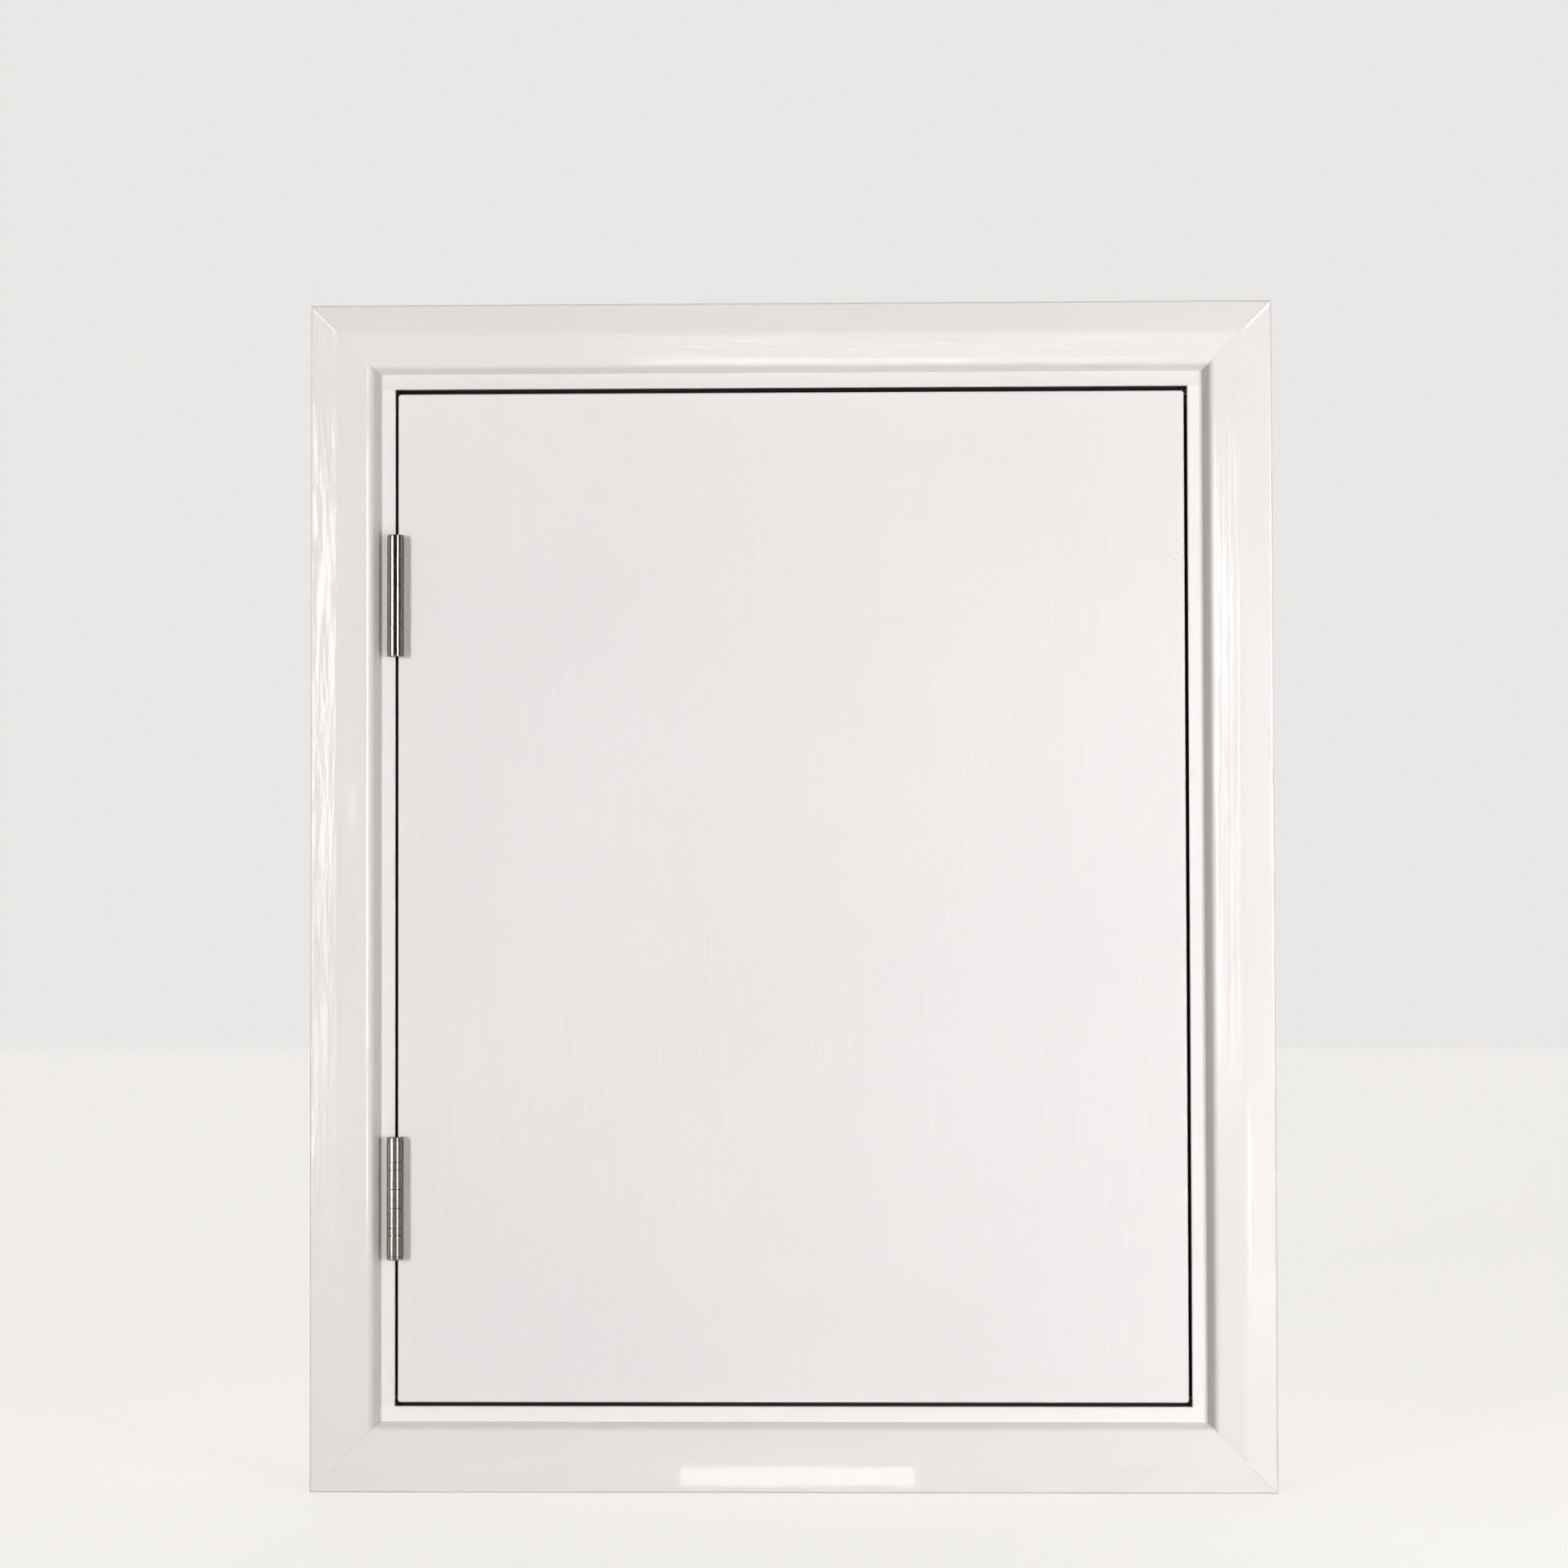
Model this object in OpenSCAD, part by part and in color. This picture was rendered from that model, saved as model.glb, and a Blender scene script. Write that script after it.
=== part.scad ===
// Eaves access door: a flush painted leaf on two ball bearing butt hinges,
// in a four sided timber lining with mitred architraves on the room side.
// X runs across the door, Y runs from the room into the wall and Z runs up.
// The origin is on the wall face, under the middle of the lining sill.

/* [Leaf] */
// Width of the leaf
leaf_w = 522; // [400:1:700]
// Height of the leaf
leaf_h = 668.5; // [560:0.5:900]
// Thickness of the leaf over both skins
leaf_t = 35; // [32:0.5:44]
// Thickness of each face skin
skin_t = 4; // [3:0.5:6]
// Width of the two stiles inside the leaf
stile_w = 45; // [40:1:60]
// Width of the two rails inside the leaf
rail_w = 38; // [30:1:60]
// Length of the stub tenons on the rails
tenon_l = 14; // [8:1:18]
// Thickness of the stub tenons
tenon_t = 9; // [6:0.5:12]
// Radius of the rounded leaf edges
leaf_arris_r = 1.5; // [0.5:0.1:2.5]
// Radius of the four leaf corners as seen from the room
leaf_corner_r = 2.5; // [0.5:0.1:4]

/* [Gaps] */
// Gap between the leaf and the hinge jamb
hinge_gap = 1.8; // [1.6:0.1:3]
// Gap between the leaf and the latch jamb
latch_gap = 2.2; // [2:0.1:4]
// Gap between the leaf and the lining head
head_gap = 3; // [2:0.1:4]
// Gap between the leaf and the lining sill
sill_gap = 2.5; // [2:0.1:4]

/* [Lining] */
// Thickness of the lining boards
lining_t = 25; // [22:0.5:32]
// Depth of the lining through the wall
lining_d = 102; // [92:1:160]
// Radius of the rounded lining edges beside the leaf
lining_arris_r = 1; // [0.5:0.1:1.5]
// Thickness of the tongues on the jamb ends
tongue_t = 9; // [7:0.5:10]
// Length of the tongues on the jamb ends
tongue_l = 12; // [8:0.5:15]
// Distance from the jamb face to the tongue
tongue_shoulder = 10.5; // [9:0.5:11]
// Clearance of a tongue in its trench and a tenon in its mortise
wood_clear = 0.2; // [0.1:0.05:0.5]

/* [Architrave] */
// Width of the architrave
arch_w = 44.5; // [42:0.5:70]
// Thickness of the architrave at its crest
arch_t = 15.5; // [14.5:0.5:20]
// Thickness of the architrave at its outer edge
arch_side_t = 13; // [11:0.5:14]
// Thickness of the architrave at its rounded inner edge
arch_edge_t = 9.5; // [9:0.1:11]
// Distance of the crest from the outer edge
arch_crest_x = 18.5; // [16:0.5:20]
// Radius of the soft crest between the outer band and the slope
arch_crest_r = 10.5; // [4:0.5:12]
// Radius of the rounded inner edge
arch_nose_r = 4.9; // [3.5:0.1:5.5]
// Lean of the face below the rounded inner edge, in degrees off upright
arch_lean = 22; // [10:1:28]
// Radius of the outer front edge
arch_arris_r = 1.2; // [0.5:0.1:2]
// Margin of lining left showing inside the architrave
quirk_w = 10; // [6:0.5:11]

/* [Stops and seals] */
// Thickness of the planted stops
stop_t = 12; // [11.5:0.5:16]
// Width of the planted stops
stop_w = 38; // [30:1:45]
// Radius of the exposed stop edges
stop_arris_r = 1.5; // [0.5:0.1:2]
// Width of the draught seal
seal_w = 9; // [7:0.5:9.5]
// Height of the draught seal off the stop
seal_t = 3.7; // [3.3:0.1:5]
// Radius of the hollow seal bulb
seal_bulb_r = 2.4; // [2:0.1:3]
// Radius of the hole in the seal bulb
seal_hollow_r = 1.1; // [0.6:0.1:1.2]
// Thickness of the flat foot of the seal
seal_foot_t = 1; // [0.6:0.1:1.5]
// Clearance between the leaf and the seal
seal_clear = 0.3; // [0.2:0.1:1]

/* [Hinges] */
// Height of the hinge leaves
hinge_h = 76; // [70:1:100]
// Width of the hinge when it lies open
hinge_open_w = 51; // [46:1:60]
// Thickness of the hinge leaves
hinge_plate_t = 2.5; // [1.5:0.1:2.6]
// Diameter of the hinge pin
pin_d = 6; // [5:0.1:6.2]
// Radial clearance on the hinge pin
pin_clear = 0.05; // [0.02:0.01:0.08]
// Distance of the pin axis in front of the leaf face
pin_reach = 6; // [6:0.1:8]
// Height of the top and bottom knuckles
end_knuckle_h = 13.5; // [12:0.1:16]
// Height of the two ball bearings
bearing_h = 5; // [4.6:0.1:6]
// Gap between neighbouring knuckles
knuckle_gap = 0.4; // [0.3:0.05:0.6]
// Width of the seam where a knuckle closes on its leaf
knuckle_seam = 0.4; // [0.2:0.05:0.6]
// Height of the pin tips
tip_h = 2.2; // [1.8:0.1:4]
// Distance from the end of the leaf to the hinge
hinge_inset = 97; // [80:1:150]
// Diameter of the bearing balls
ball_d = 1.2; // [1:0.05:1.3]
// Number of balls in each bearing
ball_count = 14; // [8:1:16]

/* [Hinge screws] */
// Shank diameter of the hinge screws
hinge_screw_d = 4; // [3.5:0.1:4.5]
// Head diameter of the hinge screws
hinge_screw_head_d = 7.8; // [7:0.1:8.4]
// Length of the hinge screws
hinge_screw_l = 20; // [14:1:22]
// Height between the outer screws of a hinge leaf
hinge_screw_pitch = 50; // [44:1:56]
// Distance of the outer screws from the far edge of the hinge leaf
hinge_screw_edge = 12; // [11:0.5:13]
// Offset of the middle screw towards that edge
hinge_screw_stagger = 6; // [4:0.5:7]

/* [Touch latch] */
// Width and height of the latch housing
latch_w = 18; // [16:0.5:22]
// Length of the latch housing
latch_l = 56; // [50:1:70]
// Diameter of the plunger
plunger_d = 9; // [8:0.1:10]
// Radial clearance of the plunger in its nose bush
plunger_clear = 0.08; // [0.05:0.01:0.1]
// Distance that the plunger stands out of the nose bush
plunger_proud = 4.5; // [4:0.1:6]
// Length of the plunger
plunger_l = 26; // [22:1:28]
// Diameter of the magnet in the plunger
magnet_d = 6.4; // [5:0.1:7]
// Thickness of the magnet
magnet_t = 3; // [2:0.1:4]
// Wire diameter of the latch spring
spring_wire_d = 0.9; // [0.6:0.1:1]
// Mean diameter of the latch spring
spring_d = 8.2; // [7:0.1:8.8]
// Number of turns of the latch spring
spring_turns = 7; // [5:1:9]
// Width of the strike plate
strike_w = 14; // [12:0.5:16]
// Height of the strike plate
strike_l = 44; // [40:1:60]
// Thickness of the strike plate
strike_t = 1.2; // [1.1:0.1:2]
// Gap between the plunger and the strike plate
strike_gap = 0.3; // [0.2:0.05:0.5]

/* [Fixings] */
// Diameter of the wall fixing holes through the jambs
wall_hole_d = 5.5; // [4.5:0.1:6.5]
// Diameter of the countersinks of the wall fixing holes
wall_sink_d = 11; // [9:0.5:13]
// Height between the wall fixing holes
wall_hole_pitch_z = 560; // [500:10:600]
// Depth between the wall fixing holes
wall_hole_pitch_y = 70; // [66:1:72]
// Distance of the front wall fixing holes from the wall face
wall_hole_y = 20; // [16:1:24]
// Shank diameter of the lining screws
lining_screw_d = 4; // [3.5:0.1:4.5]
// Head diameter of the lining screws
lining_screw_head_d = 8; // [7:0.1:9]
// Length of the lining screws
lining_screw_l = 60; // [45:1:70]
// Distance of the lining screws from the front and back of the lining
lining_screw_edge = 25; // [22:1:32]
// Diameter of the nails in the architraves and stops
nail_d = 1.8; // [1.6:0.1:2.2]
// Head diameter of the nails
nail_head_d = 2.8; // [2.5:0.1:3.2]
// Length of the architrave nails
arch_nail_l = 30; // [25:1:40]
// Length of the stop nails
stop_nail_l = 30; // [25:1:32]

/* [Hidden] */
$fn = 48;

// Overshoot of a cutter past the face that it opens
cut = 1;
// Clearance round a screw or a nail in its hole
fix_clear = 0.1;

// Opening inside the lining
open_w = hinge_gap + leaf_w + latch_gap;
open_h = sill_gap + leaf_h + head_gap;
open_x = open_w / 2;
open_z0 = lining_t;
open_z1 = open_z0 + open_h;
mid_z = (open_z0 + open_z1) / 2;
lining_x = open_x + lining_t;

// Leaf in the opening
leaf_x0 = -open_x + hinge_gap;
leaf_x1 = leaf_x0 + leaf_w;
leaf_z0 = open_z0 + sill_gap;
leaf_z1 = leaf_z0 + leaf_h;
frame_t = leaf_t - 2 * skin_t;
tenon_inset = rail_w / 4;
tenon_w = rail_w / 2;

// Architrave ring
arch_x = open_x + quirk_w + arch_w;
arch_z0 = open_z0 - quirk_w - arch_w;
arch_z1 = open_z1 + quirk_w + arch_w;

// Stops behind the leaf
stop_y = leaf_t + seal_clear + seal_t;
stop_x = open_x - stop_t;
seal_edge = (stop_t - stop_arris_r - seal_w) / 2;

// Hinge, measured from the pin axis
pin_x = -open_x + hinge_gap / 2;
pin_y = -pin_reach;
pin_r = pin_d / 2;
bore_r = pin_r + pin_clear;
knuckle_r = bore_r + hinge_plate_t;
plate_in = hinge_gap / 2;
plate_out = plate_in + hinge_plate_t;
plate_y1 = hinge_open_w / 2;
knuckle_clear = 0.4;
notch_y = knuckle_r + knuckle_clear;
swage_y = knuckle_r;
mid_knuckle_h = (hinge_h - 2 * end_knuckle_h - 2 * bearing_h - 6 * knuckle_gap) / 3;
knuckle_2_z = end_knuckle_h + bearing_h + 2 * knuckle_gap;
knuckle_3_z = knuckle_2_z + mid_knuckle_h + knuckle_gap;
knuckle_4_z = knuckle_3_z + mid_knuckle_h + knuckle_gap;
knuckle_5_z = hinge_h - end_knuckle_h;
bearing_z = end_knuckle_h + knuckle_gap;
frame_knuckles = [
    [0, end_knuckle_h], [knuckle_3_z, mid_knuckle_h], [knuckle_5_z, end_knuckle_h]
];
door_knuckles = [[knuckle_2_z, mid_knuckle_h], [knuckle_4_z, mid_knuckle_h]];
lower_hinge_z = leaf_z0 + hinge_inset;
upper_hinge_z = leaf_z1 - hinge_inset - hinge_h;
hinge_zs = [lower_hinge_z, upper_hinge_z];
recess_y1 = plate_y1 - pin_reach;

// Pin tips
tip_inset = 0.1;
tip_r = knuckle_r - tip_inset;
tip_round = 0.8;
tip_gap = 0.3;
tip_socket = 1.2;

// Bearings
cup_wall = 0.5;
cup_chamfer = 0.25;
race_t = 1.5;
race_groove = 0.2;
ball_clear = 0.05;
washer_clear = 0.3;
cup_in_r = knuckle_r - cup_wall;
ball_orbit_r = (bore_r + cup_in_r) / 2;
ball_z = bearing_h - race_t + race_groove - ball_clear - ball_d / 2;
washer_top = ball_z - ball_d / 2 - washer_clear;
cup_boss_clear = 0.3;
cup_boss_r = cup_in_r - cup_boss_clear;
ball_fn = 24;

// Screw positions on a hinge leaf, as depth from the pin axis and height
hinge_screw_spots = [
    [plate_y1 - hinge_screw_edge, (hinge_h - hinge_screw_pitch) / 2],
    [plate_y1 - hinge_screw_edge + hinge_screw_stagger, hinge_h / 2],
    [plate_y1 - hinge_screw_edge, (hinge_h + hinge_screw_pitch) / 2]
];

// Screw drive recess
drive_w = 1;
drive_depth = 1.2;

// Touch latch on the inner face of the latch side stop
latch_x = stop_x - latch_w / 2;
strike_y = leaf_t + strike_t;
plunger_y = strike_y + strike_gap;
nose_flange_t = 2;
nose_y = plunger_y + plunger_proud;
latch_y = nose_y + nose_flange_t;
latch_corner_r = 2;
plunger_space = 1.4;
latch_end_t = 5;
latch_cavity_r = plunger_d / 2 + plunger_space;
latch_cavity_l = latch_l - latch_end_t;
nose_sleeve_l = 8;
nose_collar_inset = 1.5;
nose_collar_d = latch_w - 2 * nose_collar_inset;
flange_clear = 0.3;
plunger_flange_r = latch_cavity_r - flange_clear;
plunger_flange_t = 2;
latch_flange_t = 2.5;
latch_flange_w = 14;
latch_flange_l = 46;
latch_flange_r = 3.5;
latch_screw_d = 3;
latch_screw_head_d = 5.4;
latch_screw_l = 20;
latch_screw_pitch = 34;
latch_screw_back = 26;
latch_screw_y = latch_y + latch_screw_back;
strike_screw_d = 3;
strike_screw_head_d = 5.2;
strike_screw_l = 16;
strike_screw_end = 7;
strike_screw_pitch = strike_l - 2 * strike_screw_end;
strike_corner_r = 3;

// Latch spring between the plunger and the end of its cavity
spring_end_gap = 0.3;
spring_y0 = plunger_y + plunger_l + spring_end_gap + spring_wire_d / 2;
spring_y1 = latch_y + latch_cavity_l - spring_end_gap - spring_wire_d / 2;
spring_steps = 12;
spring_sides = 8;

// Screws through the head and the sill into the jambs
lining_screw_x = open_x + tongue_shoulder + tongue_t / 2;
lining_screw_ys = [lining_screw_edge, lining_d - lining_screw_edge];

// Nails, sunk under the painted surface
nail_head_l = 1;
nail_cover = 1.5;
arch_nail_in = (lining_t - quirk_w) / 2;
nail_end = 60;
arch_nail_end = arch_w + nail_end;
nails_across = 3;
nails_up = 4;
stop_nail_y = stop_y + stop_w / 2;

function spread(low, high, count) = [for (i = [0 : count - 1]) low + (high - low) * i / (count - 1)];

// A board section with its two front corners rounded, back on y = t
module rounded_front(w, t, r) {
    translate([0, r]) square([w, t - r]);
    translate([r, 0]) square([w - 2 * r, t]);
    for (x = [r, w - r]) translate([x, r]) circle(r);
}

// A rectangle about the origin with rounded corners
module rounded_rect(w, h, r) {
    square([w, h - 2 * r], center = true);
    square([w - 2 * r, h], center = true);
    for (x = [-1, 1], y = [-1, 1]) translate([x * (w / 2 - r), y * (h / 2 - r)]) circle(r);
}

// A cutter that rounds an edge on the Z axis, with the wood towards +X and +Y
module arris(length, r) {
    linear_extrude(length) difference() {
        translate([-cut, -cut]) square(r + cut);
        translate([r, r]) circle(r);
    }
}

// A countersunk screw pointing down, its head flush with z = 0
module countersunk_screw(d, head_d, length) {
    head_h = (head_d - d) / 2;
    difference() {
        rotate_extrude() polygon([
            [0, 0], [head_d / 2, 0], [d / 2, -head_h], [d / 2, d - length], [0, -length]
        ]);
        for (turn = [0, 90]) rotate(turn)
            translate([-d / 2, -drive_w / 2, -drive_depth]) cube([d, drive_w, drive_depth + cut]);
    }
}

// The hole that a countersunk screw sits in
module screw_space(d, head_d, length) {
    shank_r = d / 2 + fix_clear;
    head_r = head_d / 2 + fix_clear;
    rotate_extrude() polygon([
        [0, cut], [head_r, cut], [head_r, 0], [shank_r, shank_r - head_r],
        [shank_r, -length - fix_clear], [0, -length - fix_clear]
    ]);
}

// A lost head nail pointing down, its head on z = 0
module nail(length) {
    rotate_extrude() polygon([
        [0, 0], [nail_head_d / 2, 0], [nail_head_d / 2, -nail_head_l],
        [nail_d / 2, -nail_head_l], [nail_d / 2, nail_d - length], [0, -length]
    ]);
}

// The hole that a nail fills
module nail_space(length) {
    translate([0, 0, -nail_head_l - fix_clear])
        cylinder(r = nail_head_d / 2 + fix_clear, h = nail_head_l + 2 * fix_clear);
    translate([0, 0, -length - fix_clear]) cylinder(r = nail_d / 2 + fix_clear, h = length);
}

module lining_screw_places(z, way) {
    for (side = [-1, 1], y = lining_screw_ys)
        translate([side * lining_screw_x, y, z]) rotate([way, 0, 0]) children();
}

// The places of all the stop nails, each pointing out of the opening
module stop_nail_places() {
    for (x = spread(nail_end - open_x, open_x - nail_end, nails_across)) {
        translate([x, stop_nail_y, open_z0 + stop_t - nail_cover]) children();
        translate([x, stop_nail_y, open_z1 - stop_t + nail_cover]) rotate([180, 0, 0]) children();
    }
    for (z = spread(open_z0 + nail_end, open_z1 - nail_end, nails_up)) {
        translate([-stop_x - nail_cover, stop_nail_y, z]) rotate([0, 90, 0]) children();
        translate([stop_x + nail_cover, stop_nail_y, z]) rotate([0, -90, 0]) children();
    }
}

// The places of all the architrave nails, each pointing into the wall
module arch_nail_places() {
    head_y = nail_cover - arch_edge_t;
    edge = arch_nail_in + quirk_w;
    for (z = [open_z0 - edge, open_z1 + edge])
        for (x = spread(arch_nail_end - arch_x, arch_x - arch_nail_end, nails_across))
            translate([x, head_y, z]) rotate([90, 0, 0]) children();
    for (x = [-open_x - edge, open_x + edge])
        for (z = spread(arch_z0 + arch_nail_end, arch_z1 - arch_nail_end, nails_up))
            translate([x, head_y, z]) rotate([90, 0, 0]) children();
}

// The sill board, which mirrored is the head board too
module lining_board() {
    trench_w = tongue_t + 2 * wood_clear;
    trench_l = tongue_l + wood_clear;
    difference() {
        translate([-lining_x, 0, 0]) cube([2 * lining_x, lining_d, lining_t]);
        translate([-open_x, 0, lining_t]) rotate([0, 90, 0]) arris(open_w, lining_arris_r);
        for (side = [-1, 1])
            translate([side * lining_screw_x - trench_w / 2, -cut, lining_t - trench_l])
                cube([trench_w, lining_d + 2 * cut, trench_l + cut]);
        lining_screw_places(0, 180)
            screw_space(lining_screw_d, lining_screw_head_d, lining_screw_l);
    }
}

// The hinge side jamb before its hinge recesses, which mirrored is the latch side jamb
module lining_jamb() {
    difference() {
        union() {
            translate([-lining_x, 0, open_z0]) cube([lining_t, lining_d, open_h]);
            translate([-open_x - tongue_shoulder - tongue_t, 0, open_z0 - tongue_l])
                cube([tongue_t, lining_d, open_h + 2 * tongue_l]);
        }
        translate([-open_x, 0, open_z0]) mirror([1, 0, 0]) arris(open_h, lining_arris_r);
        for (y = [wall_hole_y, wall_hole_y + wall_hole_pitch_y], z = [-1, 1])
            translate([-open_x, y, mid_z + z * wall_hole_pitch_z / 2]) rotate([0, 90, 0])
                screw_space(wall_hole_d - 2 * fix_clear, wall_sink_d - 2 * fix_clear, lining_t + cut);
        lining_screw_places(0, 180)
            screw_space(lining_screw_d, lining_screw_head_d, lining_screw_l);
        lining_screw_places(open_z1 + lining_t, 0)
            screw_space(lining_screw_d, lining_screw_head_d, lining_screw_l);
    }
}

module lining_sill() {
    color("white") difference() {
        lining_board();
        stop_nail_places() nail_space(stop_nail_l);
        arch_nail_places() nail_space(arch_nail_l);
    }
}

module lining_head() {
    color("white") difference() {
        translate([0, 0, 2 * mid_z]) mirror([0, 0, 1]) lining_board();
        stop_nail_places() nail_space(stop_nail_l);
        arch_nail_places() nail_space(arch_nail_l);
    }
}

module lining_jamb_hinge_side() {
    color("white") difference() {
        lining_jamb();
        for (z = hinge_zs)
            translate([-open_x - hinge_plate_t, -cut, z - wood_clear])
                cube([hinge_plate_t + cut, recess_y1 + wood_clear + cut, hinge_h + 2 * wood_clear]);
        frame_screw_places() screw_space(hinge_screw_d, hinge_screw_head_d, hinge_screw_l);
        stop_nail_places() nail_space(stop_nail_l);
        arch_nail_places() nail_space(arch_nail_l);
    }
}

module lining_jamb_latch_side() {
    color("white") difference() {
        mirror([1, 0, 0]) lining_jamb();
        latch_screw_places() screw_space(latch_screw_d, latch_screw_head_d, latch_screw_l);
        stop_nail_places() nail_space(stop_nail_l);
        arch_nail_places() nail_space(arch_nail_l);
    }
}

// The way that a flat face looks where it touches two circles, at a and further along X at b
function facing(a, a_r, b, b_r) =
    let (turn = atan2(b.y - a.y, b.x - a.x) - acos((a_r - b_r) / norm(b - a)))
    [cos(turn), sin(turn)];

// The architrave section: an outer band that falls back a little from the crest, a slope, a rounded
// inner edge and a leaning face below it. The foot lies on x = arch_w and the back on y = 0.
module architrave_section() {
    outer = [arch_arris_r, arch_arris_r - arch_side_t];
    crest = [arch_crest_x, arch_crest_r - arch_t];
    inward = [cos(arch_lean), -sin(arch_lean)];
    nose_rise = arch_edge_t - arch_nose_r;
    face_l = (nose_rise + arch_nose_r * sin(arch_lean)) / cos(arch_lean);
    nose = [arch_w - arch_nose_r * cos(arch_lean) - face_l * sin(arch_lean), -nose_rise];
    band = facing(outer, arch_arris_r, crest, arch_crest_r);
    slope = facing(crest, arch_crest_r, nose, arch_nose_r);
    polygon([
        [0, 0], [0, outer.y], outer + arch_arris_r * band, crest + arch_crest_r * band,
        crest + arch_crest_r * slope, nose + arch_nose_r * slope, nose + arch_nose_r * inward,
        [arch_w, 0]
    ]);
    translate(outer) circle(arch_arris_r);
    translate(crest) circle(arch_crest_r);
    translate(nose) circle(arch_nose_r);
}

// An architrave along Z with its outer edge on x = 0, mitred at both ends
module architrave(length) {
    intersection() {
        linear_extrude(length) architrave_section();
        rotate([90, 0, 0]) linear_extrude(arch_t + cut)
            polygon([[0, 0], [arch_w, arch_w], [arch_w, length - arch_w], [0, length]]);
    }
}

module architrave_side() {
    difference() {
        translate([-arch_x, 0, arch_z0]) architrave(arch_z1 - arch_z0);
        arch_nail_places() nail_space(arch_nail_l);
    }
}

module architrave_end() {
    difference() {
        translate([-arch_x, 0, arch_z1]) rotate([0, 90, 0]) architrave(2 * arch_x);
        arch_nail_places() nail_space(arch_nail_l);
    }
}

module architrave_left() {
    color("white") architrave_side();
}

module architrave_right() {
    color("white") mirror([1, 0, 0]) architrave_side();
}

module architrave_top() {
    color("white") architrave_end();
}

module architrave_bottom() {
    color("white") translate([0, 0, 2 * mid_z]) mirror([0, 0, 1]) architrave_end();
}

// A stop along Z, lying on x = 0 with its exposed face towards +X
module stop(length) {
    linear_extrude(length) translate([stop_t, 0]) rotate(90) rounded_front(stop_w, stop_t, stop_arris_r);
}

module stop_side() {
    difference() {
        translate([-open_x, stop_y, open_z0 + stop_t]) stop(open_h - 2 * stop_t);
        stop_nail_places() nail_space(stop_nail_l);
    }
}

module stop_end() {
    difference() {
        translate([-open_x, stop_y, open_z1]) rotate([0, 90, 0]) stop(open_w);
        stop_nail_places() nail_space(stop_nail_l);
    }
}

module stop_hinge_side() {
    color("white") stop_side();
}

module stop_latch_side() {
    color("white") difference() {
        mirror([1, 0, 0]) stop_side();
        latch_screw_places() screw_space(latch_screw_d, latch_screw_head_d, latch_screw_l);
    }
}

module stop_top() {
    color("white") stop_end();
}

module stop_bottom() {
    color("white") translate([0, 0, 2 * mid_z]) mirror([0, 0, 1]) stop_end();
}

// The seal section: a flat foot and a hollow bulb, back on y = 0
module seal_section() {
    difference() {
        union() {
            translate([0, -seal_foot_t]) square([seal_w, seal_foot_t]);
            translate([seal_w / 2, seal_bulb_r - seal_t]) circle(seal_bulb_r);
        }
        translate([seal_w / 2, seal_bulb_r - seal_t]) circle(seal_hollow_r);
    }
}

// A seal along Z with its outer edge on x = 0, mitred at both ends
module seal(length) {
    intersection() {
        linear_extrude(length) seal_section();
        rotate([90, 0, 0]) linear_extrude(seal_t + cut)
            polygon([[0, 0], [seal_w, seal_w], [seal_w, length - seal_w], [0, length]]);
    }
}

module seal_side() {
    translate([-open_x + seal_edge, stop_y, open_z0 + seal_edge]) seal(open_h - 2 * seal_edge);
}

module seal_end() {
    translate([-open_x + seal_edge, stop_y, open_z1 - seal_edge]) rotate([0, 90, 0])
        seal(open_w - 2 * seal_edge);
}

module seal_hinge_side() {
    color("black") seal_side();
}

module seal_latch_side() {
    color("black") mirror([1, 0, 0]) seal_side();
}

module seal_top() {
    color("black") seal_end();
}

module seal_bottom() {
    color("black") translate([0, 0, 2 * mid_z]) mirror([0, 0, 1]) seal_end();
}

module lining_screws() {
    color("silver") {
        lining_screw_places(0, 180)
            countersunk_screw(lining_screw_d, lining_screw_head_d, lining_screw_l);
        lining_screw_places(open_z1 + lining_t, 0)
            countersunk_screw(lining_screw_d, lining_screw_head_d, lining_screw_l);
    }
}

module architrave_nails() {
    color("silver") arch_nail_places() nail(arch_nail_l);
}

module stop_nails() {
    color("silver") stop_nail_places() nail(stop_nail_l);
}

// The outline of the leaf with its rounded corners, from y = 0 to the depth
module leaf_outline(depth) {
    translate([(leaf_x0 + leaf_x1) / 2, depth, (leaf_z0 + leaf_z1) / 2]) rotate([90, 0, 0])
        linear_extrude(depth) rounded_rect(leaf_w, leaf_h, leaf_corner_r);
}

// A leaf skin with its show face on y = 0 and rounded on all four edges
module leaf_skin() {
    intersection() {
        translate([leaf_x0, 0, leaf_z0]) linear_extrude(leaf_h)
            rounded_front(leaf_w, skin_t, leaf_arris_r);
        translate([leaf_x1, 0, leaf_z0]) rotate([0, -90, 0]) linear_extrude(leaf_w)
            rounded_front(leaf_h, skin_t, leaf_arris_r);
        leaf_outline(skin_t);
    }
}

// The recesses of both hinges in the hinge side edge of the leaf
module leaf_recesses() {
    for (z = hinge_zs)
        translate([leaf_x0 - cut, -cut, z - wood_clear])
            cube([hinge_plate_t + cut, recess_y1 + wood_clear + cut, hinge_h + 2 * wood_clear]);
}

module leaf_front_skin() {
    color("white") difference() {
        leaf_skin();
        leaf_recesses();
    }
}

module leaf_back_skin() {
    color("white") difference() {
        translate([0, leaf_t, 0]) mirror([0, 1, 0]) leaf_skin();
        strike_screw_places() screw_space(strike_screw_d, strike_screw_head_d, strike_screw_l);
    }
}

// A stub tenon of a rail, or with a clearance the mortise for it
module tenon(z, clear) {
    translate([leaf_x0 + stile_w - tenon_l - clear, (leaf_t - tenon_t) / 2 - clear, z - clear])
        cube([leaf_w - 2 * stile_w + 2 * (tenon_l + clear), tenon_t + 2 * clear, tenon_w + 2 * clear]);
}

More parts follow.
